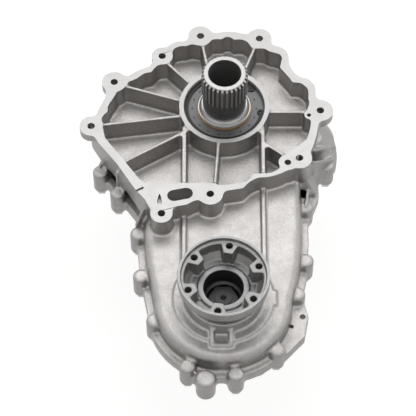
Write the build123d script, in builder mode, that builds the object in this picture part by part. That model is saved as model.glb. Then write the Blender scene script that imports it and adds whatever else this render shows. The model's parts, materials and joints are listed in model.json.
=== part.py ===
"""Single-speed transfer case with a planetary centre differential and a chain to the front output.

The origin is where the input shaft's axis crosses the bell's mating face. +Z runs along the input
shaft towards the gearbox, and +Y from the front output to the input. All sizes are in millimetres.
"""

from math import acos, cos, hypot, pi, radians, sin, sqrt, tan
import os

from build123d import *

os.makedirs("parts", exist_ok=True)

# Chain drive: its pitch and its whole number of links set the distance between the two shafts
chain_pitch = 9.525
sprocket_teeth = 41
straight_pitches = 26.5
shaft_distance = chain_pitch * straight_pitches
front_axis_x = -2.0
front_axis_y = -sqrt(shaft_distance**2 - front_axis_x**2)
front_axis = (front_axis_x, front_axis_y)

# Heights of the casting's planes, measured from the bell face
parting_z = -62.0
bell_depth = 30.0
bell_floor = 6.0
rib_drop = 1.2
pad_depth = 13.0
lobe_face_z = -28.0
lobe_wall = 6.0
flange_thickness = 8.0

# Bell: outline of the rim without its bolt pads, clockwise, as corner x, y and the rise of the next arc
rim_runs = [
    (-29, 99, 15), (44, 96, 1), (63, 90.5, 5.5), (79.5, 70, 0), (80, 62, -2), (93, 42.5, 4.5),
    (111, 26, 0), (111, 14, 0), (118, -7, 0), (112, -33, 1), (103, -66, 0), (92, -88, 0), (75, -93, 3),
    (40, -104, -2), (22, -119, 0), (0, -123, 0), (-28, -132, 0), (-45, -142, 0), (-60, -145, 0),
    (-87, -148, 0), (-94, -134, 0), (-105, -121, 0), (-128, -84, 0), (-150, -55, 0), (-161, -36, 0),
    (-153, -10, 0.5), (-145, 10, -0.5), (-144, 20, 0), (-143, 34, 0), (-134, 38, 0), (-118, 42, 1),
    (-104, 53, 1), (-92, 57.5, 0), (-86, 68, 0), (-76, 82, 0.5), (-66, 92.5, 1.5), (-52, 97.5, 0),
]
# Bell: scalloped inner edge of the rim in the same form
pocket_runs = [
    (-22, 92, 0), (-16, 99.5, 1), (-3.5, 100.8, 0), (1.5, 104, 0.8), (8, 104, 0), (13, 100, 1),
    (25, 99.5, 1.2), (32.5, 90.5, 0), (36, 87, 0), (50.5, 86.5, 0), (56, 82, 0), (65.5, 79, 2.5),
    (70.8, 69, 0), (68.5, 57.5, 0), (80, 41.5, 0), (83.5, 35, 0), (90, 34.5, 1), (97, 30.5, 1.5),
    (102.3, 20, 0), (102, 10, 0), (103.3, 5, 0), (102, -3, 0), (104, -24, 1), (98, -50, 0), (80, -66, 0),
    (72, -73, 0), (65, -91, 0), (58, -96, 2), (36, -98, 0), (26, -110, 0), (-2, -115, 0), (-30, -112, 0),
    (-92, -112, 0), (-100, -107, 0), (-143, -47, 0), (-147, -27, 0), (-148, -18, 0.5), (-141, -9, 0),
    (-141, -2, 0.5), (-135, 10.5, 0), (-130.5, 20.3, 1), (-119.5, 30, 0), (-117, 35.5, 0), (-107, 40.5, 0),
    (-98, 48.5, 0), (-89, 50.5, 0.5), (-81, 61, 0), (-70, 64, 0), (-66.5, 67, 0), (-63.3, 76, 0.5),
    (-63, 83, 1), (-58, 88.5, 1), (-47, 90.2, 0), (-41, 93, 0.5), (-32, 91.5, 0),
]
# Bolt pads of the bell: x, y, radius
pads = [
    (-29, 106, 15), (44, 102, 15), (-76, 75, 13), (-134, 35.5, 15), (-160, -30, 14),
    (116, -7, 15.5), (89, -76, 15), (-17, -127, 15), (-74, -154, 13),
]
bell_bolt_hole_r = 4.5
bell_bolt_hole_depth = 24.0
dowel_pad = (75, -82.5, 11)
dowel_lug = (102, -14, 5.5)
dowel_pad_hole_r = 4.0
dowel_lug_hole_r = 2.5
bell_dowel_hole_depth = 12.0

# Ribs in the bell: start x, y and end x, y
ribs = [
    (-27, 96, -18, 46), (39.4, 93, 22, 46), (-72, 68, -40, 33), (-122, 31, -50, 8),
    (-150, -27.4, -50, -13.6), (-126, -84.5, -46, -36), (-7, -52, -12, -116), (46, -52, 76, -75),
    (50, -8, 108, -8),
]
rib_width = 3.6
rail_width = 5.0
rail_xs = (-48.0, 46.0)
rail_height = 5.0

# Bearing boss round the input shaft
bearing_seat_r = 47.5
boss_r = bearing_seat_r + 7.0
seat_chamfer = 1.7
bearing_front_z = -6.0
bearing_width = 11.0
snap_ring_z = bearing_front_z
snap_ring_thickness = 1.6
snap_groove_r = bearing_seat_r + 1.5
seal_seat_r = bearing_seat_r - 5.5

# Chain housing: its outline in the same form as the rim's
lobe_r = 79.5
lobe_runs = [
    (-95, 0, 0), (91, 0, 0), (91, -160, 0), (88, -205, 0), (front_axis_x + lobe_r, front_axis_y, lobe_r),
    (front_axis_x - lobe_r, front_axis_y, 0), (-91, -205, 0), (-95, -160, 0),
]
lobe_shoulder_r = 9.0
lobe_side_wall = 7.5
flange_lip = 9.0
main_clear_r = 79.0
side_wall = 11.0
side_clear_z = -42.0

# Case round the input axis at the parting plane, clockwise
side_runs = [
    (-20, 92, 0), (36, 90, 0), (74, 62, 0), (104, 30, 0), (117, 8, 6), (136, -20, 2), (136, -51, 0),
    (114, -71, 0), (114, -96, 0), (103, -126, 0), (94, -150, 0), (-92, -152, 0), (-103, -128, 0),
    (-122, -101, 0), (-147, -70, 0), (-152, -33, 0), (-140, -8, 0), (-134, 20, 0), (-100, 44, 0),
    (-70, 66, 0), (-44, 84, 0),
]
bulge_runs = [
    (70, 40, 0), (112, 16, 6), (135, -20, 2), (135, -50, 0), (113, -72, 0), (110, -98, 0),
    (70, -98, 0),
]
bulge_step_z = -46.0
bulge_top_z = -14.0
bulge_slope = 32.0
bulge_ribs = [(106, -60, 134, -33), (106, -78, 133, -51)]
bulge_rib_tops = (-6.0, -38.0)

# Bosses of the case bolts on the parting flange
case_bosses = [
    (-149.5, -68), (-128, -98), (-102.5, -156), (-98, -214), (-81.5, -273), (-43, -332), (12, -342),
    (59, -311), (84, -238), (95, -193), (97, -118), (124, -58), (112, 18), (70, 70), (8, 97),
    (-62, 78), (-128, 28),
]
case_boss_r = 9.5
case_boss_top_z = -40.0
case_bolt_r = 4.0
case_bolt_clear_r = case_bolt_r + 0.5
drain_boss = (-22.3, -348, 11.5)
ear_corners = [(74, -226), (92, -240), (97, -262), (92, -288), (70, -312), (56, -300)]
ear_holes = [(90, -262, 3.5), (77, -275, 2.5)]

bolt_thread_depth = 19.0
bolt_head_flange = 1.6
bolt_head_flange_r = 8.5
bolt_head_height = 7.5
bolt_head_flats = 12.0
spot_face_r = bolt_head_flange_r + 0.3
spot_face_depth = 11.5

# Webs under the bell's edge: inner x, y, outer x, y, and the height of the top at each end
webs = [
    (-136, -48, -152, -64, -10, -38), (-118, -82, -129, -91, -2, -10), (-91, -132, -105, -150, -4, -32),
    (100, -100, 97, -121, -30, -38),
]
web_width = 3.5

# Neck of the front output
neck_top_z = -13.0
neck_root_r = 47.0
neck_pad_r = 58.0
neck_pad_height = 3.0
output_seal_r = 36.0
output_seal_depth = 10.5
front_bearing_front_z = -31.0
front_bearing_width = 16.0
front_bearing_outer_r = 37.5
front_bearing_inner_r = 22.5
front_shoulder_r = front_bearing_outer_r - 4.5
front_bearing_boss_r = front_bearing_outer_r + 4.5
front_bearing_boss_z = front_bearing_front_z - front_bearing_width - 2.0

# Drain trough below the neck: place across, width, width of its legs, and their top and foot
trough_x = -4.4
trough_width = 17.0
trough_leg = 4.5
trough_top = (neck_root_r - 6.0, -18.0)
trough_foot = (neck_root_r + 14.0, -24.5)

# Rails of the lower front face and a small lug
rail_ends = [(-48, -104, -48, -222), (46, -92, 46, -226)]
side_lug = (57, -243, 57, -262)

# Oil opening, tear-drop groove and notch in the bell's lower rim
oil_slot = (-52.5, -127.8, 30.5, 15.5, 12)
oil_slot_depth = 24.0
drip_round = (-76.5, -137, 2.8)
drip_tip = (-75.5, -126)
drip_depth = 3.0
strip_notch = (-94, -117, -107, -125, 3)

# Rear case: heights below the parting plane, walls, and the bosses of its bearings
rear_wall = 6.0
rear_lobe_inset = 1.5
rear_lobe_z = parting_z - 22.0
rear_lobe_clear_z = rear_lobe_z + rear_wall
barrel_r = 85.0
barrel_z = -128.0
barrel_clear_z = barrel_z + rear_wall
rear_side_z = parting_z - 14.0
rear_side_clear_z = rear_side_z + rear_wall
rear_boss_z = parting_z - 12.0
rear_bearing_outer_r = 40.0
rear_bearing_inner_r = 20.0
rear_bearing_front_z = barrel_clear_z - 2.0
rear_bearing_width = 18.0
rear_neck_r = rear_bearing_outer_r + 8.0
rear_neck_z = rear_bearing_front_z - rear_bearing_width - 16.0
rear_shoulder_r = rear_bearing_outer_r - 6.0
rear_seal_r = 35.0
rear_seal_depth = 11.0
tail_bearing_outer_r = 31.0
tail_bearing_inner_r = 15.0
tail_bearing_front_z = rear_lobe_clear_z - 2.0
tail_bearing_width = 16.0
tail_boss_r = tail_bearing_outer_r + 7.0
tail_boss_z = tail_bearing_front_z - tail_bearing_width - rear_wall
tail_relief_r = tail_bearing_outer_r - 5.0
tail_relief_depth = 2.0
plug_r = 9.0
plug_boss_r = plug_r + 6.0
plug_boss_z = rear_lobe_z - 5.0

# Ribs of the rear case: half of their angles' step, width, and how far they reach from their axis
rear_rib_width = 4.0
barrel_rib_step = 30
barrel_rib_side_reach = 104.0
barrel_rib_reach = 89.0
neck_rib_reach = barrel_r - 9.0
tail_rib_step = 36
tail_rib_reach = 76.0
fill_plug_place = (48, -140)
drain_plug_place = (36, -306)
breather_place = (-112, 10)
breather_hole_r = 3.0
dowel_places = [(-20, 85.5), (92, -160)]
dowel_r = 4.0
dowel_length = 12.0

# Plugs of the rear case and the breather
plug_washer = 2.0
plug_washer_r = plug_r + 5.0
plug_head_r = plug_r + 3.5
plug_head_height = 5.0
plug_socket_r = 5.0
plug_shank = 12.0
breather_hex_r = 7.0
breather_tube_r = 4.0
breather_cap_r = 8.0
breather_length = 17.0

# Radial clearance of a running fit
running = 0.05

# Input shaft: radii and heights of its steps
shaft_tip_z = 65.5
shaft_bore_r = 19.5
shaft_bore_end_z = -50.0
spline_teeth = 30
spline_r = 27.5
spline_root_r = spline_r - 2.3
spline_end_z = 29.0
spline_chamfer = 3.0
spline_runout = 4.0
shaft_neck_r = 26.0
input_seat_r = 30.0
seal_collar_r = input_seat_r + 3.5
seal_collar_end_z = -30.0
inner_shaft_r = 25.0
carrier_seat_r = inner_shaft_r - 1.0
pilot_r = 12.0
pilot_end_z = -134.0
pilot_bush_wall = 2.5
pilot_bush_length = 16.0
input_seal_front_z = -18.0
input_seal_width = 8.0

# Flared collar pressed on the shaft in front of the bearing, and the amber washer behind it
washer_thickness = 1.2
washer_r = input_seat_r + 2.4
collar_rim_r = input_seat_r + 1.5
collar_rim_height = 3.3
collar_step = 0.9
collar_top_r = shaft_neck_r + 1.4
collar_top_z = 4.5

# Snap ring of the input bearing, with lugs at its ends, and the bearing's shield
snap_ring_inner_r = bearing_seat_r - 4.0
snap_ring_gap = (-4, 37)
snap_lug_r = 4.0
snap_lug_place_r = bearing_seat_r - 3.5
snap_lug_hole_r = 1.4
shield_plate = 0.6
shield_gap = 0.15
shield_slot = (1.2, 2.6)

# Ball bearings: each ring's share of the half section, half the cage's wall in ball radii, and its ends
ring_share = 0.45
cage_half_wall = 0.4
cage_end = 0.8
input_ball_r = 4.0
front_ball_r = 4.8
tail_ball_r = 4.8
rear_ball_r = 6.0
input_ball_count = 18
hidden_ball_count = 8

# Planetary differential
gear_module = 2.0
pressure_angle = 25.0
sun_teeth = 36
planet_teeth = 15
ring_teeth = sun_teeth + 2 * planet_teeth
backlash = 0.25
gear_front_z = -80.0
gear_width = 20.0
planet_pin_r = 6.0
sun_bore_r = 28.0
sun_tube_r = 33.5
sun_tube_front_z = -44.0
sun_bush_length = 13.0
carrier_r = 61.0
carrier_bore_r = 43.0
carrier_front_z = -74.5
carrier_front_thickness = 4.0
carrier_rear_z = -102.0
carrier_rear_thickness = 8.0
carrier_strut_r = 6.0
ring_gear_r = 75.0
drum_wall = 5.0
drum_web_z = -113.0
drum_web_thickness = 6.0

# Rear output: the shaft's steps and the three-armed flange for a flexible coupling
rear_shoulder_seat_r = rear_bearing_inner_r + 5.0
rear_journal_r = rear_bearing_inner_r + 8.0
rear_thread_r = 14.0
rear_flange_z = rear_neck_z - 3.0
arm_thickness = 11.0
arm_pcd = 96.0
arm_hole_r = 6.0
arm_end_r = 16.0
arm_width = 26.0
rear_hub_r = 26.0
rear_hub_end_z = rear_flange_z - 17.0
rear_nut_height = 10.0
rear_nut_flats = 36.0
rear_spigot_r = 12.0
rear_spigot_end_z = rear_hub_end_z - 19.0

# Chain and sprockets
sprocket_r = chain_pitch / 2 / sin(pi / sprocket_teeth)
sprocket_width = 20.0
sprocket_front_z = -52.0
sprocket_tooth = 5.0
sprocket_recess = 4.0
chain_width = 16.0
chain_band = 5.0
chain_play = 0.45
link_tooth = 4.5
link_tooth_top = 5.2
link_tooth_tip = 2.2

# Front output shaft and its cup-shaped flange
front_spline_r = 15.0
front_thread_r = 10.0
front_thread_end_z = -25.5
centre_hole = (3.5, 3.0)
front_nut_seat_z = -35.0
front_nut_height = 8.0
front_nut_flats = 30.0
shaft_collar_r = front_bearing_inner_r + 3.0
sprocket_seat_r = 19.0
tail_end_z = tail_bearing_front_z - tail_bearing_width + 1.0
flange_face_z = 25.0
flange_r = 52.5
flange_straight_z = 11.5
flange_waist = (46.0, -3.0)
flange_back = (40.0, -9.5)
flange_lip_r = 49.0
flange_bolt_z = 19.0
flange_wall_r = 45.5
flange_wall_end_z = 5.0
flange_floor = (38.0, -4.0)
flange_hub_r = 29.5
flange_hub_z = -2.0
flange_bore_r = 23.0
flange_bore_step = (19.0, -26.0, -29.0)
flange_seal_r = 27.5
flange_pcd = 86.0
flange_hole_r = 4.0
flange_hole_depth = 20.0
flange_hole_angle = 21.0
flange_boss_inner_r = 33.0
flange_boss_inner_width = 10.0
flange_boss_outer_width = 21.0
shield_r = 42.5
shield_thickness = 1.2


def draw_runs(runs):
    """Draw a closed outline whose corners are joined by lines, or by arcs where a rise is given."""
    for here, there in zip(runs, runs[1:] + runs[:1]):
        if here[2]:
            SagittaArc(here[:2], there[:2], here[2])
        else:
            Line(here[:2], there[:2])


def soften(hollow, standing):
    """Round the open sketch's hollow corners and then its standing corners."""
    offset(amount=hollow)
    offset(amount=-hollow)
    offset(amount=-standing)
    offset(amount=standing)


def upright_plane(x1, y1, x2, y2):
    """Plane that stands on the line from one place to another, its x along the line and its y up."""
    along = Vector(x2 - x1, y2 - y1, 0)
    return Plane(origin=(x1, y1, 0), x_dir=along, z_dir=along.cross(Vector(0, 0, 1)))


def draw_bar(x1, y1, x2, y2, width):
    """Draw a straight bar of this width between two points."""
    length = hypot(x2 - x1, y2 - y1)
    across = (-(y2 - y1) / length * width / 2, (x2 - x1) / length * width / 2)
    Polygon(
        (x1 + across[0], y1 + across[1]), (x2 + across[0], y2 + across[1]),
        (x2 - across[0], y2 - across[1]), (x1 - across[0], y1 - across[1]), align=None,
    )


def gear_outline(teeth, outer_r, inner_r, play, turn):
    """Corners of an involute gear with a tooth at `turn` degrees. Play narrows every tooth."""
    pitch_r = gear_module * teeth / 2
    slope = radians(pressure_angle)
    base_r = pitch_r * cos(slope)
    radii = [inner_r, max(base_r, inner_r + 0.3 * gear_module), pitch_r, outer_r]
    corners = []
    for tooth in range(teeth):
        for side, order in ((-1, radii), (1, radii[::-1])):
            for r in order:
                roll = acos(min(1.0, base_r / r))
                half = pi / 2 / teeth - play / 2 / pitch_r + tan(slope) - slope - tan(roll) + roll
                angle = radians(turn) + 2 * pi * tooth / teeth + side * half
                corners.append((r * cos(angle), r * sin(angle)))
    return corners


def sprocket_outline(turn):
    """Corners of a sprocket with a tooth at `turn` degrees. The gaps take the teeth of the chain."""
    root_r = sprocket_r - sprocket_tooth
    corners = []
    for tooth in range(sprocket_teeth):
        for r, share in ((root_r, -0.36), (sprocket_r, -0.17), (sprocket_r, 0.17), (root_r, 0.36)):
            angle = radians(turn + 360 / sprocket_teeth * (tooth + share))
            corners.append((r * cos(angle), r * sin(angle)))
    return corners


def link_teeth():
    """Places and directions of the chain's teeth, one pitch apart round both sprockets."""
    r = sprocket_r + chain_play + 0.2
    pitch_angle = 360 / sprocket_teeth
    half_wrap = sprocket_teeth // 2
    for i in range(half_wrap):
        for y, start in ((0, 0), (-shaft_distance, 180)):
            angle = start + pitch_angle * (i + 0.5)
            yield (r * cos(radians(angle)), y + r * sin(radians(angle)), angle)
    for i in range(int(straight_pitches) + 1):
        yield (-r, -i * chain_pitch, 180)
        yield (r, i * chain_pitch - shaft_distance, 0)


with BuildSketch() as rim:
    with BuildLine():
        draw_runs(rim_runs)
    make_face()
    soften(4, 5)

with BuildSketch() as pads_face:
    add(rim.sketch)
    for x, y, r in pads + [dowel_pad]:
        with Locations((x, y)):
            Circle(r)
    offset(amount=7)
    offset(amount=-7)

with BuildSketch() as pocket_area:
    with BuildLine():
        draw_runs(pocket_runs)
    make_face()
    for x, y, r in pads + [dowel_pad]:
        with Locations((x, y)):
            Circle(r, mode=Mode.SUBTRACT)
    with Locations((dowel_lug[0], dowel_lug[1])):
        Circle(dowel_lug[2], mode=Mode.SUBTRACT)
    Circle(boss_r, mode=Mode.SUBTRACT)
    offset(amount=1.5)
    offset(amount=-1.5)

with BuildSketch() as pocket_faces:
    add(pocket_area.sketch)
    with BuildSketch(mode=Mode.SUBTRACT):
        for bar in ribs:
            draw_bar(*bar, rib_width)
    with BuildSketch(mode=Mode.SUBTRACT):
        for x in rail_xs:
            draw_bar(x, -30, x, -130, rail_width)
    offset(amount=-3)
    offset(amount=3)

with BuildSketch() as side_face:
    with BuildLine():
        draw_runs(side_runs)
    make_face()
    offset(amount=8)
    offset(amount=-8)

with BuildSketch() as bulge_face:
    with BuildLine():
        draw_runs(bulge_runs)
    make_face()
    offset(amount=4)
    offset(amount=-4)

with BuildSketch() as lobe_face:
    with BuildLine():
        draw_runs(lobe_runs)
    make_face()
    offset(amount=-20)
    offset(amount=20)

with BuildSketch() as chain_face:
    add(lobe_face.sketch)
    offset(amount=-lobe_side_wall)

with BuildSketch() as flange_face:
    add(side_face.sketch)
    with BuildSketch():
        add(lobe_face.sketch)
        offset(amount=flange_lip)
    Polygon(*ear_corners, align=None)
    with Locations(*case_bosses):
        Circle(case_boss_r)
    with Locations((drain_boss[0], drain_boss[1])):
        Circle(drain_boss[2])
    offset(amount=5)
    offset(amount=-5)

with BuildPart() as pocket_cutter:
    with BuildSketch():
        add(pocket_faces.sketch)
    extrude(amount=-bell_depth)

with BuildPart() as lobe_block:
    with BuildSketch(Plane.XY.offset(parting_z)):
        add(lobe_face.sketch)
    extrude(amount=lobe_face_z - parting_z)
    fillet(lobe_block.edges().group_by(Axis.Z)[-1], radius=lobe_shoulder_r)

with BuildPart() as boss_block:
    with BuildSketch(Plane.XY.offset(parting_z)):
        with Locations(*case_bosses):
            Circle(case_boss_r)
        with Locations((drain_boss[0], drain_boss[1])):
            Circle(drain_boss[2])
    extrude(amount=case_boss_top_z - parting_z)
    fillet(boss_block.edges().group_by(Axis.Z)[-1], radius=4)

with BuildPart() as front_case:
    # Bell, its bolt pads and the columns under the three lowest pads
    with BuildSketch():
        add(rim.sketch)
    extrude(amount=-(bell_depth + bell_floor))
    with BuildSketch():
        add(pads_face.sketch)
    extrude(amount=-pad_depth)
    with BuildSketch(Plane.XY.offset(-pad_depth)):
        for x, y, r in pads[6:] + [dowel_pad]:
            with Locations((x, y)):
                Circle(r)
    extrude(amount=pad_depth - bell_depth)
    # Walls from the bell to the parting plane, with the sloping bulge on the right
    with BuildSketch(Plane.XY.offset(parting_z)):
        add(rim.sketch)
        offset(amount=-8)
    extrude(amount=-parting_z - bell_depth)
    with BuildSketch(Plane.XY.offset(parting_z)):
        add(flange_face.sketch)
    extrude(amount=flange_thickness)
    with BuildSketch(Plane.XY.offset(parting_z)):
        add(bulge_face.sketch)
    extrude(amount=bulge_step_z - parting_z)
    with BuildSketch(Plane.XY.offset(bulge_step_z)):
        add(bulge_face.sketch)
    extrude(amount=bulge_top_z - bulge_step_z, taper=bulge_slope)
    add(lobe_block.part)
    add(boss_block.part)
    for x1, y1, x2, y2, inner_top, outer_top in webs:
        with BuildSketch(upright_plane(x1, y1, x2, y2)):
            reach = hypot(x2 - x1, y2 - y1)
            Polygon((0, inner_top), (reach, outer_top), (reach, parting_z), (0, parting_z), align=None)
        extrude(amount=web_width / 2, both=True)
    for x1, y1, x2, y2 in bulge_ribs:
        with BuildSketch(upright_plane(x1, y1, x2, y2)):
            reach = hypot(x2 - x1, y2 - y1)
            Polygon((0, bulge_rib_tops[0]), (reach, bulge_rib_tops[1]), (reach, parting_z), (0, parting_z),
                    align=None)
        extrude(amount=web_width / 2, both=True)
    # Front output neck and its pad, the rails, and the drain trough below the neck
    with BuildSketch(Plane.XY.offset(lobe_face_z - lobe_wall)):
        with Locations(front_axis):
            Circle(neck_pad_r)
        draw_bar(*side_lug, 5)
    extrude(amount=lobe_wall + neck_pad_height)
    with BuildSketch(Plane.XY.offset(lobe_face_z)):
        with Locations(front_axis):
            Circle(neck_root_r)
    extrude(amount=neck_top_z - lobe_face_z, taper=12)
    with BuildSketch(Plane.XY.offset(lobe_face_z - lobe_wall)):
        for bar in rail_ends:
            draw_bar(*bar, rail_width)
    extrude(amount=lobe_wall + rail_height)
    with BuildSketch(Plane.XY.offset(lobe_face_z)):
        with Locations((trough_x, front_axis_y - (neck_root_r + neck_pad_r) / 2)):
            Rectangle(trough_width, neck_pad_r - neck_root_r + 2)
    extrude(amount=neck_pad_height, mode=Mode.SUBTRACT)
    for side in (-1, 1):
        x = trough_x + side * (trough_width + trough_leg) / 2
        with BuildSketch(upright_plane(x, front_axis_y, x, front_axis_y - 1)):
            Polygon(trough_top, trough_foot, (trough_foot[0], lobe_face_z - 1),
                    (trough_top[0], lobe_face_z - 1), align=None)
        extrude(amount=trough_leg / 2, both=True)
    with BuildSketch(Plane.XY.offset(lobe_face_z - 1)):
        with Locations((trough_x, front_axis_y - trough_foot[0])):
            RectangleRounded(trough_width + 2 * trough_leg, 1.2 * trough_leg, 0.5 * trough_leg)
    extrude(amount=trough_foot[1] - lobe_face_z + 1)
    # Inside: chain space, main space and the bearing boss of the front output shaft
    with BuildSketch(Plane.XY.offset(parting_z)):
        add(chain_face.sketch)
        Circle(main_clear_r)
    extrude(amount=-bell_depth - bell_floor - parting_z, mode=Mode.SUBTRACT)
    with BuildSketch(Plane.XY.offset(parting_z)):
        add(side_face.sketch)
        offset(amount=-side_wall)
    extrude(amount=side_clear_z - parting_z, mode=Mode.SUBTRACT)
    with BuildSketch(Plane.XY.offset(front_bearing_boss_z)):
        with Locations(front_axis):
            Circle(front_bearing_boss_r)
    extrude(amount=lobe_face_z - front_bearing_boss_z)
    # Bell pockets, cut after the walls so that they stay open
    add(pocket_cutter.part, mode=Mode.SUBTRACT)
    with BuildSketch():
        add(pocket_area.sketch)
    extrude(amount=-rib_drop, mode=Mode.SUBTRACT)
    # Bearing boss: bearing seat, snap ring groove and seal seat
    with BuildSketch():
        Circle(bearing_seat_r)
    extrude(amount=bearing_front_z - bearing_width, mode=Mode.SUBTRACT)
    with BuildSketch(Plane.XY.offset(snap_ring_z)):
        Circle(snap_groove_r)
    extrude(amount=snap_ring_thickness, mode=Mode.SUBTRACT)
    with BuildSketch():
        Circle(seal_seat_r)
    extrude(amount=parting_z, mode=Mode.SUBTRACT)
    with BuildSketch(Plane.XZ):
        Polygon(
            (bearing_seat_r - 1, 1), (bearing_seat_r + seat_chamfer + 1, 1),
            (bearing_seat_r - 1, -seat_chamfer - 1), align=None,
        )
    revolve(axis=Axis.Z, mode=Mode.SUBTRACT)
    # Bores of the front output
    with BuildSketch(Plane.XY.offset(neck_top_z)):
        with Locations(front_axis):
            Circle(output_seal_r)
    extrude(amount=-output_seal_depth, mode=Mode.SUBTRACT)
    with BuildSketch(Plane.XY.offset(neck_top_z)):
        with Locations(front_axis):
            Circle(front_shoulder_r)
    extrude(amount=parting_z, mode=Mode.SUBTRACT)
    with BuildSketch(Plane.XY.offset(front_bearing_front_z)):
        with Locations(front_axis):
            Circle(front_bearing_outer_r)
    extrude(amount=front_bearing_boss_z - front_bearing_front_z, mode=Mode.SUBTRACT)
    # Holes in the bell's rim
    with BuildSketch():
        with Locations(*[(x, y) for x, y, r in pads]):
            Circle(bell_bolt_hole_r)
    extrude(amount=-bell_bolt_hole_depth, mode=Mode.SUBTRACT)
    with BuildSketch():
        with Locations((dowel_pad[0], dowel_pad[1])):
            Circle(dowel_pad_hole_r)
        with Locations((dowel_lug[0], dowel_lug[1])):
            Circle(dowel_lug_hole_r)
    extrude(amount=-bell_dowel_hole_depth, mode=Mode.SUBTRACT)
    with BuildSketch():
        with Locations(Location((oil_slot[0], oil_slot[1], 0), (0, 0, oil_slot[4]))):
            SlotOverall(oil_slot[2], oil_slot[3])
    extrude(amount=-oil_slot_depth, mode=Mode.SUBTRACT)
    with BuildSketch():
        x, y, r = drip_round
        with Locations((x, y)):
            Circle(r)
        Polygon(drip_tip, (x + r, y), (x - r, y), align=None)
        draw_bar(*strip_notch)
    extrude(amount=-drip_depth, mode=Mode.SUBTRACT)
    # Threaded holes for the case bolts, holes for the dowels and holes in the ear
    with BuildSketch(Plane.XY.offset(parting_z)):
        with Locations(*case_bosses):
            Circle(case_bolt_r)
    extrude(amount=bolt_thread_depth, mode=Mode.SUBTRACT)
    with BuildSketch(Plane.XY.offset(parting_z)):
        with Locations(*dowel_places):
            Circle(dowel_r)
    extrude(amount=dowel_length / 2, mode=Mode.SUBTRACT)
    for x, y, r in ear_holes:
        with BuildSketch(Plane.XY.offset(parting_z)):
            with Locations((x, y)):
                Circle(r)
        extrude(amount=flange_thickness + 2, mode=Mode.SUBTRACT)
front_case.part.label = "front_case"
export_step(front_case.part, "parts/front_case.step")

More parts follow.
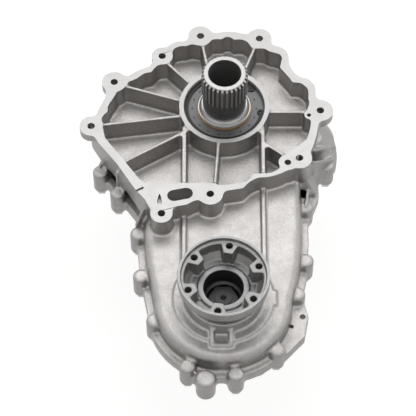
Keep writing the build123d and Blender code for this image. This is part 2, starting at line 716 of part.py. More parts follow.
with BuildPart() as rear_case:
    with BuildSketch(Plane.XY.offset(parting_z)):
        add(flange_face.sketch)
    extrude(amount=-flange_thickness)
    with BuildSketch(Plane.XY.offset(parting_z)):
        add(side_face.sketch)
        offset(amount=-5)
    extrude(amount=rear_side_z - parting_z)
    with BuildSketch(Plane.XY.offset(parting_z)):
        with Locations(*case_bosses):
            Circle(case_boss_r)
        with Locations((drain_boss[0], drain_boss[1])):
            Circle(drain_boss[2])
    extrude(amount=rear_boss_z - parting_z)
    with BuildSketch(Plane.XY.offset(parting_z)):
        add(lobe_face.sketch)
        offset(amount=-rear_lobe_inset)
    extrude(amount=rear_lobe_z - parting_z)
    with BuildSketch(Plane.XY.offset(parting_z)):
        Circle(barrel_r)
    extrude(amount=barrel_z - parting_z, taper=2)
    with BuildSketch(Plane.XY.offset(barrel_z)):
        Circle(rear_neck_r)
    extrude(amount=rear_neck_z - barrel_z, taper=3)
    with BuildSketch(Plane.XY.offset(rear_lobe_z)):
        with Locations(front_axis):
            Circle(tail_boss_r)
    extrude(amount=tail_boss_z - rear_lobe_z, taper=3)
    with BuildSketch(Plane.XY.offset(rear_lobe_z)):
        with Locations(fill_plug_place, drain_plug_place):
            Circle(plug_boss_r)
    extrude(amount=plug_boss_z - rear_lobe_z)
    # Ribs from the barrel out to the flange, from the neck over the barrel, and round the tail boss
    for angle in range(0, 360, barrel_rib_step):
        spread = (cos(radians(angle)), sin(radians(angle)))
        if spread[1] > -0.6:
            with BuildSketch(upright_plane(0, 0, spread[0], spread[1])):
                reach = barrel_rib_side_reach if abs(spread[0]) > 0.8 else barrel_rib_reach
                Polygon(
                    (main_clear_r + 1, barrel_z + 10), (barrel_r - 2, barrel_z + 10), (reach, rear_side_z),
                    (reach, parting_z - 4), (main_clear_r + 1, parting_z - 4), align=None,
                )
            extrude(amount=rear_rib_width / 2, both=True)
        with BuildSketch(upright_plane(0, 0, spread[0], spread[1])):
            Polygon(
                (rear_neck_r - 4, rear_neck_z + 8), (rear_neck_r - 1, rear_neck_z + 8),
                (neck_rib_reach, barrel_z - 1), (neck_rib_reach, barrel_z + 2),
                (rear_neck_r - 4, barrel_z + 2), align=None,
            )
        extrude(amount=rear_rib_width / 2, both=True)
    for angle in range(180, 361, tail_rib_step):
        spread = (cos(radians(angle)), sin(radians(angle)))
        x, y = front_axis
        with BuildSketch(upright_plane(x, y, x + spread[0], y + spread[1])):
            Polygon(
                (tail_boss_r - 4, tail_boss_z + 4), (tail_boss_r - 1, tail_boss_z + 4),
                (tail_rib_reach, rear_lobe_z - 1), (tail_rib_reach, rear_lobe_z + 2),
                (tail_boss_r - 4, rear_lobe_z + 2), align=None,
            )
        extrude(amount=rear_rib_width / 2, both=True)
    # Inside
    with BuildSketch(Plane.XY.offset(parting_z)):
        add(chain_face.sketch)
    extrude(amount=rear_lobe_clear_z - parting_z, mode=Mode.SUBTRACT)
    with BuildSketch(Plane.XY.offset(parting_z)):
        Circle(main_clear_r)
    extrude(amount=barrel_clear_z - parting_z, mode=Mode.SUBTRACT)
    with BuildSketch(Plane.XY.offset(parting_z)):
        add(side_face.sketch)
        offset(amount=-side_wall)
    extrude(amount=rear_side_clear_z - parting_z, mode=Mode.SUBTRACT)
    # Bores of the rear output, the front output shaft's tail, the plugs and the breather
    with BuildSketch(Plane.XY.offset(barrel_clear_z)):
        Circle(rear_bearing_outer_r)
    extrude(amount=rear_bearing_front_z - rear_bearing_width - barrel_clear_z, mode=Mode.SUBTRACT)
    with BuildSketch(Plane.XY.offset(barrel_clear_z)):
        Circle(rear_shoulder_r)
    extrude(amount=rear_neck_z - barrel_clear_z, mode=Mode.SUBTRACT)
    with BuildSketch(Plane.XY.offset(rear_neck_z)):
        Circle(rear_seal_r)
    extrude(amount=rear_seal_depth, mode=Mode.SUBTRACT)
    with BuildSketch(Plane.XY.offset(rear_lobe_clear_z)):
        with Locations(front_axis):
            Circle(tail_bearing_outer_r)
    extrude(amount=tail_bearing_front_z - tail_bearing_width - rear_lobe_clear_z, mode=Mode.SUBTRACT)
    with BuildSketch(Plane.XY.offset(tail_bearing_front_z - tail_bearing_width)):
        with Locations(front_axis):
            Circle(tail_relief_r)
    extrude(amount=-tail_relief_depth, mode=Mode.SUBTRACT)
    with BuildSketch(Plane.XY.offset(rear_boss_z)):
        with Locations(*case_bosses):
            Circle(spot_face_r)
    extrude(amount=-spot_face_depth, mode=Mode.SUBTRACT)
    with BuildSketch(Plane.XY.offset(parting_z)):
        with Locations(fill_plug_place, drain_plug_place):
            Circle(plug_r)
    extrude(amount=plug_boss_z - parting_z, mode=Mode.SUBTRACT)
    with BuildSketch(Plane.XY.offset(parting_z)):
        with Locations(breather_place):
            Circle(breather_hole_r)
    extrude(amount=rear_side_z - parting_z, mode=Mode.SUBTRACT)
    with BuildSketch(Plane.XY.offset(parting_z)):
        with Locations(*case_bosses):
            Circle(case_bolt_clear_r)
    extrude(amount=rear_boss_z - parting_z, mode=Mode.SUBTRACT)
    with BuildSketch(Plane.XY.offset(parting_z)):
        with Locations(*dowel_places):
            Circle(dowel_r)
    extrude(amount=-dowel_length / 2, mode=Mode.SUBTRACT)
    for x, y, r in ear_holes:
        with BuildSketch(Plane.XY.offset(parting_z)):
            with Locations((x, y)):
                Circle(r)
        extrude(amount=-flange_thickness - 2, mode=Mode.SUBTRACT)
rear_case.part.label = "rear_case"
export_step(rear_case.part, "parts/rear_case.step")

with BuildPart() as case_bolts:
    with BuildSketch(Plane.XY.offset(rear_boss_z - bolt_head_flange)):
        with Locations(*case_bosses):
            Circle(bolt_head_flange_r)
    extrude(amount=bolt_head_flange)
    with BuildSketch(Plane.XY.offset(rear_boss_z - bolt_head_height)):
        with Locations(*case_bosses):
            RegularPolygon(bolt_head_flats / 2, 6, major_radius=False)
    extrude(amount=bolt_head_height)
    with BuildSketch(Plane.XY.offset(rear_boss_z)):
        with Locations(*case_bosses):
            Circle(case_bolt_r)
    extrude(amount=parting_z - rear_boss_z + bolt_thread_depth - 2)
case_bolts.part.label = "case_bolts"
export_step(case_bolts.part, "parts/case_bolts.step")

with BuildPart() as case_dowels:
    with BuildSketch(Plane.XY.offset(parting_z - dowel_length / 2)):
        with Locations(*dowel_places):
            Circle(dowel_r)
            Circle(dowel_r - 1.5, mode=Mode.SUBTRACT)
    extrude(amount=dowel_length)
case_dowels.part.label = "case_dowels"
export_step(case_dowels.part, "parts/case_dowels.step")

with BuildPart() as input_snap_ring:
    with BuildSketch(Plane.XY.offset(snap_ring_z)):
        Circle(snap_groove_r - running)
        Circle(snap_ring_inner_r, mode=Mode.SUBTRACT)
        far_r = 1.3 * snap_groove_r
        Polygon((0, 0), *[(far_r * cos(radians(a)), far_r * sin(radians(a))) for a in snap_ring_gap],
                align=None, mode=Mode.SUBTRACT)
        for angle in (snap_ring_gap[0] - 4, snap_ring_gap[1] + 4):
            with Locations((snap_lug_place_r * cos(radians(angle)), snap_lug_place_r * sin(radians(angle)))):
                Circle(snap_lug_r)
                Circle(snap_lug_hole_r, mode=Mode.SUBTRACT)
    extrude(amount=snap_ring_thickness)
input_snap_ring.part.label = "input_snap_ring"
export_step(input_snap_ring.part, "parts/input_snap_ring.step")

# Seals: outer radius, shaft radius, height of the front face, width, place of the axis
seals = {
    "input_seal": (seal_seat_r, seal_collar_r, input_seal_front_z, input_seal_width, (0, 0)),
    "front_output_seal": (
        output_seal_r, flange_seal_r, neck_top_z - 1, output_seal_depth - 1, front_axis,
    ),
    "rear_output_seal": (
        rear_seal_r, rear_journal_r, rear_neck_z + rear_seal_depth, rear_seal_depth - 1, (0, 0),
    ),
}
for name, (outer_r, shaft_r, front_z, width, place) in seals.items():
    with BuildPart() as seal:
        with BuildSketch(Plane.XY.offset(front_z)):
            with Locations(place):
                Circle(outer_r)
                Circle(shaft_r + running, mode=Mode.SUBTRACT)
        extrude(amount=-width)
    seal.part.label = name
    export_step(seal.part, f"parts/{name}.step")

# Bearings: inner radius, outer radius, height of the front face, width, ball radius, balls, axis
bearings = {
    "input": (
        input_seat_r, bearing_seat_r, bearing_front_z, bearing_width, input_ball_r, input_ball_count, (0, 0),
    ),
    "front_output": (
        front_bearing_inner_r, front_bearing_outer_r, front_bearing_front_z, front_bearing_width,
        front_ball_r, hidden_ball_count, front_axis,
    ),
    "tail": (
        tail_bearing_inner_r, tail_bearing_outer_r, tail_bearing_front_z, tail_bearing_width,
        tail_ball_r, hidden_ball_count, front_axis,
    ),
    "rear_output": (
        rear_bearing_inner_r, rear_bearing_outer_r, rear_bearing_front_z, rear_bearing_width,
        rear_ball_r, hidden_ball_count, (0, 0),
    ),
}
for name, (inner_r, outer_r, front_z, width, ball_r, ball_count, place) in bearings.items():
    ball_circle_r = (inner_r + outer_r) / 2
    middle = Plane((place[0], place[1], front_z - width / 2))
    upright = Plane(middle.origin, x_dir=(1, 0, 0), z_dir=(0, -1, 0))
    land = ring_share * (outer_r - inner_r) / 2
    pieces = {}
    for ring_name, ring_middle_r in (("outer_ring", outer_r - land / 2), ("inner_ring", inner_r + land / 2)):
        with BuildPart() as ring:
            with BuildSketch(upright):
                with Locations((ring_middle_r, 0)):
                    Rectangle(land, width)
                with Locations((ball_circle_r, 0)):
                    Circle(ball_r + running, mode=Mode.SUBTRACT)
            revolve(axis=Axis(middle.origin, (0, 0, 1)))
        pieces[ring_name] = ring.part
    with BuildPart() as cage:
        with BuildSketch(middle):
            Circle(ball_circle_r + cage_half_wall * ball_r)
            Circle(ball_circle_r - cage_half_wall * ball_r, mode=Mode.SUBTRACT)
            with PolarLocations(ball_circle_r, ball_count):
                Circle(ball_r + running, mode=Mode.SUBTRACT)
        extrude(amount=ball_r + running, both=True)
        with BuildSketch(middle.offset(ball_r + running), middle.offset(-ball_r - running - cage_end)):
            Circle(ball_circle_r + cage_half_wall * ball_r)
            Circle(ball_circle_r - cage_half_wall * ball_r, mode=Mode.SUBTRACT)
        extrude(amount=cage_end)
    pieces["cage"] = cage.part
    with BuildPart(middle) as balls:
        with PolarLocations(ball_circle_r, ball_count):
            Sphere(ball_r)
    pieces["balls"] = balls.part
    for piece_name, piece in pieces.items():
        piece.label = f"{name}_bearing_{piece_name}"
        export_step(piece, f"parts/{name}_bearing_{piece_name}.step")

# The shield is pressed into the bearing's outer ring and has a slot in front of each ball
input_land = ring_share * (bearing_seat_r - input_seat_r) / 2
with BuildPart() as input_bearing_shield:
    with BuildSketch(Plane.XY.offset(bearing_front_z)):
        Circle(bearing_seat_r - input_land)
        Circle(input_seat_r + input_land + shield_gap, mode=Mode.SUBTRACT)
        with PolarLocations((bearing_seat_r + input_seat_r) / 2, input_ball_count):
            Rectangle(*shield_slot, mode=Mode.SUBTRACT)
    extrude(amount=-shield_plate)
input_bearing_shield.part.label = "input_bearing_shield"
export_step(input_bearing_shield.part, "parts/input_bearing_shield.step")

carrier_end_z = carrier_rear_z - carrier_rear_thickness
with BuildPart() as input_shaft:
    with BuildSketch(Plane.XZ):
        with BuildLine():
            Polyline(
                (shaft_bore_r, shaft_tip_z), (spline_root_r, shaft_tip_z), (spline_root_r, spline_end_z),
                (shaft_neck_r, spline_end_z), (shaft_neck_r, bearing_front_z),
                (input_seat_r, bearing_front_z), (input_seat_r, bearing_front_z - bearing_width),
                (seal_collar_r, bearing_front_z - bearing_width),
                (seal_collar_r, seal_collar_end_z), (inner_shaft_r, seal_collar_end_z),
                (inner_shaft_r, carrier_rear_z), (carrier_seat_r, carrier_rear_z),
                (carrier_seat_r, carrier_end_z - 1), (pilot_r, carrier_end_z - 1), (pilot_r, pilot_end_z),
                (0, pilot_end_z), (0, shaft_bore_end_z), (shaft_bore_r, shaft_bore_end_z), close=True,
            )
        make_face()
    revolve(axis=Axis.Z)
    with BuildSketch(Plane.XY.offset(spline_end_z)):
        with PolarLocations(0, spline_teeth):
            Polygon(
                (spline_root_r - 1, -1.8), (spline_r, -1.1), (spline_r, 1.1), (spline_root_r - 1, 1.8),
                align=None,
            )
    extrude(amount=shaft_tip_z - spline_end_z)
    with BuildSketch(Plane.XZ):
        Polygon(
            (spline_r - spline_chamfer, shaft_tip_z), (spline_r, shaft_tip_z - spline_chamfer),
            (spline_r + 1, shaft_tip_z - spline_chamfer), (spline_r + 1, shaft_tip_z + 1),
            (spline_r - spline_chamfer, shaft_tip_z + 1), align=None,
        )
        Polygon(
            (spline_root_r, spline_end_z - 1), (spline_root_r, spline_end_z),
            (spline_r + 1, spline_end_z + spline_runout), (spline_r + 1, spline_end_z - 1), align=None,
        )
    revolve(axis=Axis.Z, mode=Mode.SUBTRACT)
input_shaft.part.label = "input_shaft"
export_step(input_shaft.part, "parts/input_shaft.step")

with BuildPart() as thrust_washer:
    with BuildSketch(Plane.XY.offset(bearing_front_z)):
        Circle(washer_r)
        Circle(shaft_neck_r, mode=Mode.SUBTRACT)
    extrude(amount=washer_thickness)
thrust_washer.part.label = "thrust_washer"
export_step(thrust_washer.part, "parts/thrust_washer.step")

collar_z = bearing_front_z + washer_thickness
with BuildPart() as thrust_collar:
    with BuildSketch(Plane.XZ):
        Polygon(
            (shaft_neck_r, collar_z), (collar_rim_r, collar_z), (collar_rim_r, collar_z + collar_rim_height),
            (collar_rim_r - collar_step, collar_z + collar_rim_height),
            (collar_rim_r - collar_step, collar_z + collar_rim_height + collar_step),
            (collar_top_r, collar_top_z), (shaft_neck_r, collar_top_z), align=None,
        )
    revolve(axis=Axis.Z)
thrust_collar.part.label = "thrust_collar"
export_step(thrust_collar.part, "parts/thrust_collar.step")

# The planets stand at angles where a tooth of the sun points at each of them
sun_pitch_r = gear_module * sun_teeth / 2
planet_pitch_r = gear_module * planet_teeth / 2
ring_pitch_r = gear_module * ring_teeth / 2
planet_circle_r = sun_pitch_r + planet_pitch_r
planet_angles = [90, 210, 330]
gear_rear_z = gear_front_z - gear_width

with BuildPart() as sun_gear:
    with BuildSketch(Plane.XY.offset(gear_rear_z)):
        with BuildLine():
            Polyline(
                *gear_outline(sun_teeth, sun_pitch_r + gear_module, sun_pitch_r - 1.25 * gear_module,
                              backlash, planet_angles[0]), close=True,
            )
        make_face()
        Circle(sun_bore_r, mode=Mode.SUBTRACT)
    extrude(amount=gear_width)
    with BuildSketch(Plane.XY.offset(gear_front_z)):
        Circle(sun_tube_r)
        Circle(sun_bore_r, mode=Mode.SUBTRACT)
    extrude(amount=sun_tube_front_z - gear_front_z)
sun_gear.part.label = "sun_gear"
export_step(sun_gear.part, "parts/sun_gear.step")

with BuildPart() as sun_bushes:
    for low_z in (sun_tube_front_z - sun_bush_length - 2, gear_rear_z + 2):
        with BuildSketch(Plane.XY.offset(low_z)):
            Circle(sun_bore_r)
            Circle(inner_shaft_r + running, mode=Mode.SUBTRACT)
        extrude(amount=sun_bush_length)
sun_bushes.part.label = "sun_bushes"
export_step(sun_bushes.part, "parts/sun_bushes.step")

with BuildPart() as planet_carrier:
    with BuildSketch(Plane.XY.offset(carrier_end_z)):
        Circle(carrier_r)
        Circle(carrier_seat_r, mode=Mode.SUBTRACT)
        with PolarLocations(planet_circle_r, 3, start_angle=planet_angles[0]):
            Circle(planet_pin_r, mode=Mode.SUBTRACT)
    extrude(amount=carrier_rear_thickness)
    with BuildSketch(Plane.XY.offset(carrier_front_z - carrier_front_thickness)):
        Circle(carrier_r)
        Circle(carrier_bore_r, mode=Mode.SUBTRACT)
        with PolarLocations(planet_circle_r, 3, start_angle=planet_angles[0]):
            Circle(planet_pin_r, mode=Mode.SUBTRACT)
    extrude(amount=carrier_front_thickness)
    with BuildSketch(Plane.XY.offset(carrier_rear_z)):
        with PolarLocations(planet_circle_r, 3, start_angle=planet_angles[0] + 60):
            Circle(carrier_strut_r)
    extrude(amount=carrier_front_z - carrier_front_thickness - carrier_rear_z)
planet_carrier.part.label = "planet_carrier"
export_step(planet_carrier.part, "parts/planet_carrier.step")

with BuildPart() as planet_pins:
    with BuildSketch(Plane.XY.offset(carrier_end_z)):
        with PolarLocations(planet_circle_r, 3, start_angle=planet_angles[0]):
            Circle(planet_pin_r)
    extrude(amount=carrier_front_z - carrier_end_z)
planet_pins.part.label = "planet_pins"
export_step(planet_pins.part, "parts/planet_pins.step")

for number, angle in enumerate(planet_angles, start=1):
    place = (planet_circle_r * cos(radians(angle)), planet_circle_r * sin(radians(angle)), gear_rear_z)
    with BuildPart() as planet_gear:
        with BuildSketch(Plane(place)):
            with BuildLine():
                Polyline(
                    *gear_outline(planet_teeth, planet_pitch_r + gear_module,
                                  planet_pitch_r - 1.25 * gear_module, backlash, angle), close=True,
                )
            make_face()
            Circle(planet_pin_r + running, mode=Mode.SUBTRACT)
        extrude(amount=gear_width)
    planet_gear.part.label = f"planet_gear_{number}"
    export_step(planet_gear.part, f"parts/planet_gear_{number}.step")

# The spaces of the ring gear have the outline of an outer gear's teeth
with BuildPart() as ring_gear:
    with BuildSketch(Plane.XY.offset(gear_rear_z)):
        Circle(ring_gear_r)
        with BuildLine():
            Polyline(
                *gear_outline(ring_teeth, ring_pitch_r + 1.25 * gear_module, ring_pitch_r - 0.9 * gear_module,
                              -backlash, planet_angles[0]), close=True,
            )
        make_face(mode=Mode.SUBTRACT)
    extrude(amount=gear_width)
ring_gear.part.label = "ring_gear"
export_step(ring_gear.part, "parts/ring_gear.step")

drum_rear_z = drum_web_z - drum_web_thickness
pilot_bore_r = pilot_r + pilot_bush_wall
with BuildPart() as rear_output_shaft:
    with BuildSketch(Plane.XZ):
        with BuildLine():
            Polyline(
                (ring_gear_r, gear_rear_z), (ring_gear_r, drum_rear_z), (rear_journal_r, drum_rear_z),
                (rear_shoulder_seat_r, rear_bearing_front_z), (rear_bearing_inner_r, rear_bearing_front_z),
                (rear_bearing_inner_r, rear_hub_end_z + 3), (rear_thread_r, rear_hub_end_z + 3),
                (rear_thread_r, rear_hub_end_z - rear_nut_height - 1),
                (rear_spigot_r, rear_hub_end_z - rear_nut_height - 1), (rear_spigot_r, rear_spigot_end_z),
                (0, rear_spigot_end_z), (0, pilot_end_z - 2), (pilot_bore_r, pilot_end_z - 2),
                (pilot_bore_r, drum_web_z), (ring_gear_r - drum_wall, drum_web_z),
                (ring_gear_r - drum_wall, gear_rear_z), close=True,
            )
        make_face()
    revolve(axis=Axis.Z)
rear_output_shaft.part.label = "rear_output_shaft"
export_step(rear_output_shaft.part, "parts/rear_output_shaft.step")

with BuildPart() as pilot_bush:
    with BuildSketch(Plane.XY.offset(pilot_end_z)):
        Circle(pilot_bore_r)
        Circle(pilot_r + running, mode=Mode.SUBTRACT)
    extrude(amount=pilot_bush_length)
pilot_bush.part.label = "pilot_bush"
export_step(pilot_bush.part, "parts/pilot_bush.step")

with BuildPart() as rear_output_flange:
    with BuildSketch(Plane.XY.offset(rear_flange_z)):
        Circle(rear_hub_r + 4)
        with PolarLocations(arm_pcd / 2, 3, start_angle=90):
            Circle(arm_end_r)
        for angle in (90, 210, 330):
            draw_bar(0, 0, arm_pcd / 2 * cos(radians(angle)), arm_pcd / 2 * sin(radians(angle)), arm_width)
        offset(amount=8)
        offset(amount=-8)
        with PolarLocations(arm_pcd / 2, 3, start_angle=90):
            Circle(arm_hole_r, mode=Mode.SUBTRACT)
    extrude(amount=-arm_thickness)
    with BuildSketch(Plane.XY.offset(rear_hub_end_z)):
        Circle(rear_hub_r)
    extrude(amount=rear_flange_z - rear_hub_end_z)
    with BuildSketch(Plane.XY.offset(rear_flange_z)):
        Circle(rear_journal_r)
    extrude(amount=rear_bearing_front_z - rear_bearing_width - rear_flange_z)
    with BuildSketch(Plane.XY.offset(rear_hub_end_z)):
        Circle(rear_bearing_inner_r)
    extrude(amount=rear_bearing_front_z - rear_hub_end_z, mode=Mode.SUBTRACT)
rear_output_flange.part.label = "rear_output_flange"
export_step(rear_output_flange.part, "parts/rear_output_flange.step")

with BuildPart() as rear_flange_nut:
    with BuildSketch(Plane.XY.offset(rear_hub_end_z)):
        RegularPolygon(rear_nut_flats / 2, 6, major_radius=False)
        Circle(rear_thread_r, mode=Mode.SUBTRACT)
    extrude(amount=-rear_nut_height)
rear_flange_nut.part.label = "rear_flange_nut"
export_step(rear_flange_nut.part, "parts/rear_flange_nut.step")

# Sprockets and chain are drawn on planes whose -Y runs from the input axis to the front output axis
sprocket_rear_z = sprocket_front_z - sprocket_width
across_drive = (-front_axis_y, front_axis_x, 0)
sprockets = {
    "drive_sprocket": (sun_tube_r, (0, 0), 0),
    "driven_sprocket": (sprocket_seat_r, front_axis, 180),
}
for name, (bore_r, place, turn) in sprockets.items():
    with BuildPart() as sprocket:
        with BuildSketch(Plane((*place, sprocket_rear_z), x_dir=across_drive, z_dir=(0, 0, 1))):
            with BuildLine():
                Polyline(*sprocket_outline(turn), close=True)
            make_face()
            Circle(bore_r, mode=Mode.SUBTRACT)
        extrude(amount=sprocket_width)
        with BuildSketch(Plane((*place, sprocket_front_z))):
            Circle(sprocket_r - 2.2 * sprocket_tooth)
            Circle(bore_r + 2 * sprocket_recess, mode=Mode.SUBTRACT)
        extrude(amount=-sprocket_recess, mode=Mode.SUBTRACT)
    sprocket.part.label = name
    export_step(sprocket.part, f"parts/{name}.step")

chain_z = sprocket_rear_z + (sprocket_width - chain_width) / 2
chain_inner_r = sprocket_r + chain_play
with BuildPart() as drive_chain:
    with BuildSketch(Plane((0, 0, chain_z), x_dir=across_drive, z_dir=(0, 0, 1))):
        for r, mode in ((chain_inner_r + chain_band, Mode.ADD), (chain_inner_r, Mode.SUBTRACT)):
            Circle(r, mode=mode)
            with Locations((0, -shaft_distance)):
                Circle(r, mode=mode)
            with Locations((0, -shaft_distance / 2)):
                Rectangle(2 * r, shaft_distance, mode=mode)
        with Locations(*[Location((x, y, 0), (0, 0, angle)) for x, y, angle in link_teeth()]):
            Polygon(
                (0, -link_tooth_top / 2), (0, link_tooth_top / 2), (-link_tooth, link_tooth_tip / 2),
                (-link_tooth, -link_tooth_tip / 2), align=None,
            )
    extrude(amount=chain_width)
drive_chain.part.label = "drive_chain"
export_step(drive_chain.part, "parts/drive_chain.step")

# Front output: plane that stands on its axis, and the axis
front_upright = Plane((*front_axis, 0), x_dir=(1, 0, 0), z_dir=(0, -1, 0))
front_spin = Axis((*front_axis, 0), (0, 0, 1))
bearing_end_z = front_bearing_front_z - front_bearing_width
with BuildPart() as front_output_shaft:
    with BuildSketch(front_upright):
        with BuildLine():
            Polyline(
                (0, front_thread_end_z - centre_hole[1]), (centre_hole[0], front_thread_end_z),
                (front_thread_r, front_thread_end_z), (front_thread_r, front_nut_seat_z),
                (front_spline_r, front_nut_seat_z), (front_spline_r, bearing_end_z),
                (shaft_collar_r, bearing_end_z),
                (shaft_collar_r, sprocket_front_z), (sprocket_seat_r, sprocket_front_z),
                (sprocket_seat_r, tail_bearing_front_z), (tail_bearing_inner_r, tail_bearing_front_z),
                (tail_bearing_inner_r, tail_end_z), (0, tail_end_z), close=True,
            )
        make_face()
    revolve(axis=front_spin)
front_output_shaft.part.label = "front_output_shaft"
export_step(front_output_shaft.part, "parts/front_output_shaft.step")

with BuildPart() as front_output_flange:
    with BuildSketch(front_upright):
        with BuildLine():
            Polyline(
                (front_bearing_inner_r, bearing_end_z), (front_bearing_inner_r, front_bearing_front_z),
                (flange_seal_r, front_bearing_front_z), (flange_seal_r, flange_back[1]), flange_back,
                flange_waist, (flange_r, flange_straight_z), (flange_r, flange_face_z),
                (flange_lip_r, flange_face_z), (flange_lip_r, flange_bolt_z), (flange_wall_r, flange_bolt_z),
                (flange_wall_r, flange_wall_end_z), flange_floor, (flange_hub_r, flange_floor[1]),
                (flange_hub_r, flange_hub_z), (flange_bore_r, flange_hub_z),
                (flange_bore_r, flange_bore_step[1]), (flange_bore_step[0], flange_bore_step[2]),
                (flange_bore_step[0], front_nut_seat_z), (front_spline_r, front_nut_seat_z),
                (front_spline_r, bearing_end_z), close=True,
            )
        make_face()
    revolve(axis=front_spin)
    with BuildSketch(Plane((*front_axis, flange_floor[1]))):
        with PolarLocations(0, 6, start_angle=flange_hole_angle):
            Polygon(
                (flange_boss_inner_r, -flange_boss_inner_width / 2),
                (flange_wall_r + 1, -flange_boss_outer_width / 2),
                (flange_wall_r + 1, flange_boss_outer_width / 2),
                (flange_boss_inner_r, flange_boss_inner_width / 2), align=None,
            )
    extrude(amount=flange_bolt_z - flange_floor[1])
    with BuildSketch(Plane((*front_axis, flange_bolt_z))):
        with PolarLocations(flange_pcd / 2, 6, start_angle=flange_hole_angle):
            Circle(flange_hole_r)
    extrude(amount=-flange_hole_depth, mode=Mode.SUBTRACT)
front_output_flange.part.label = "front_output_flange"
export_step(front_output_flange.part, "parts/front_output_flange.step")

with BuildPart() as front_flange_nut:
    with BuildSketch(Plane((*front_axis, front_nut_seat_z))):
        RegularPolygon(front_nut_flats / 2, 6, major_radius=False)
        Circle(front_thread_r, mode=Mode.SUBTRACT)
    extrude(amount=front_nut_height)
front_flange_nut.part.label = "front_flange_nut"
export_step(front_flange_nut.part, "parts/front_flange_nut.step")

with BuildPart() as front_dust_shield:
    with BuildSketch(Plane((*front_axis, flange_back[1]))):
        Circle(shield_r)
        Circle(flange_seal_r, mode=Mode.SUBTRACT)
    extrude(amount=-shield_thickness)
front_dust_shield.part.label = "front_dust_shield"
export_step(front_dust_shield.part, "parts/front_dust_shield.step")

for name, place in (("fill", fill_plug_place), ("drain", drain_plug_place)):
    with BuildPart() as washer:
        with BuildSketch(Plane((*place, plug_boss_z))):
            Circle(plug_washer_r)
            Circle(plug_r, mode=Mode.SUBTRACT)
        extrude(amount=-plug_washer)
    washer.part.label = f"{name}_plug_washer"
    export_step(washer.part, f"parts/{name}_plug_washer.step")
    seat = Plane((*place, plug_boss_z - plug_washer))
    with BuildPart() as plug:
        with BuildSketch(seat):
            Circle(plug_head_r)
        extrude(amount=-plug_head_height)
        fillet(plug.edges().group_by(Axis.Z)[0], radius=1.5)
        with BuildSketch(seat):
            Circle(plug_r)
        extrude(amount=plug_washer + plug_shank)
        with BuildSketch(seat.offset(-plug_head_height)):
            RegularPolygon(plug_socket_r, 6, major_radius=False)
        extrude(amount=plug_head_height + 1, mode=Mode.SUBTRACT)
    plug.part.label = f"{name}_plug"
    export_step(plug.part, f"parts/{name}_plug.step")

breather_seat = Plane((*breather_place, rear_side_z))
with BuildPart() as breather:
    with BuildSketch(breather_seat):
        Circle(breather_hole_r)
    extrude(amount=4)
    with BuildSketch(breather_seat):
        RegularPolygon(breather_hex_r, 6, major_radius=False)
    extrude(amount=-4)
    with BuildSketch(breather_seat):
        Circle(breather_tube_r)
    extrude(amount=-breather_length)
    with BuildSketch(breather_seat.offset(-breather_length)):
        Circle(breather_cap_r)
    extrude(amount=7)
    fillet(breather.edges().group_by(Axis.Z)[0], radius=2)
breather.part.label = "breather"
export_step(breather.part, "parts/breather.step")
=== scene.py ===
"""Looks of a transfer case: its castings, steel and rubber, photographed from above in soft light."""

from math import atan2, pi, radians
import json

import bpy
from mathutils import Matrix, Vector

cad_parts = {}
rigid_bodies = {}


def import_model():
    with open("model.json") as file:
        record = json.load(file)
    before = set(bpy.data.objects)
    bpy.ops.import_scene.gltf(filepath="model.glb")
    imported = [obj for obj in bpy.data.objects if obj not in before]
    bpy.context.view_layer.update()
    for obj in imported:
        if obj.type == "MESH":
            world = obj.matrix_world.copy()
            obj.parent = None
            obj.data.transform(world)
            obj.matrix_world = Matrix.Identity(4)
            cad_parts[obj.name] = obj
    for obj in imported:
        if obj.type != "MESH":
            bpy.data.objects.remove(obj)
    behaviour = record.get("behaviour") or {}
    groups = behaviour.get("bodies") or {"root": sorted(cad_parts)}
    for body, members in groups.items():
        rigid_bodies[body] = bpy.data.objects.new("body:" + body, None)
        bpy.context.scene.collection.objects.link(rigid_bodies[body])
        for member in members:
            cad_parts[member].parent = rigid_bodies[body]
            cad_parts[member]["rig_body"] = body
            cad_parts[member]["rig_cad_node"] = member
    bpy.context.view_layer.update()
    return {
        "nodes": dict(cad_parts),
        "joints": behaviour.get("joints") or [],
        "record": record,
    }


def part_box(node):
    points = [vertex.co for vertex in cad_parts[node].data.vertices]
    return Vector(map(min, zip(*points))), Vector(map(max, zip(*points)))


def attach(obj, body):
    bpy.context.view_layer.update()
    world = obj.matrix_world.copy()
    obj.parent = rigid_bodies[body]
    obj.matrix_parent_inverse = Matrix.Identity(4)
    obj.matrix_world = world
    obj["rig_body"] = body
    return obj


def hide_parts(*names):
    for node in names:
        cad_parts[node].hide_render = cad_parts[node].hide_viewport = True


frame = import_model()
scene = bpy.context.scene

MM = 0.001

# Places of the two shafts, from the frame's joints
front_joint = next(j for j in frame["joints"] if j["name"] == "front_output_spin")
front_axis = (front_joint["pos_m"][0], front_joint["pos_m"][1])
main_axis = (0.0, 0.0)

# Camera: its tilt from straight down, its place and its lens in mm
camera_tilt = radians(32.5)
camera_place = (-0.0197, -1.3386, 1.8708)
camera_lens = 164.4

# Heights of the machined faces in mm
bell_face = 0.0
neck_face = -13.0
parting = -62.0
rear_face = -158.0

# Fillets of the castings and of the forged flange, and the grids that they are built on
cast_fillet = 1.6 * MM
cast_grid = 1.2 * MM
forged_fillet = 1.4 * MM
forged_grid = 0.7 * MM

# Edges that turn by more than this stay sharp
smooth_angle = radians(35)

# Triangles that each rebuilt piece may keep
front_case_triangles = 190000
rear_case_triangles = 120000
flange_triangles = 120000

# Holes of the bell in mm: x, y, radius
bell_holes = [
    (-29, 106, 4.5), (44, 102, 4.5), (-76, 75, 4.5), (-134, 35.5, 4.5), (-160, -30, 4.5), (116, -7, 4.5),
    (89, -76, 4.5), (-17, -127, 4.5), (-74, -154, 4.5),
]
dowel_holes = [(75, -82.5, 4.0), (102, -14, 2.5)]
ear_holes = [(90, -262, 3.5), (77, -275, 2.5)]
bell_hole_floor = -24.0
dowel_hole_floor = -12.0

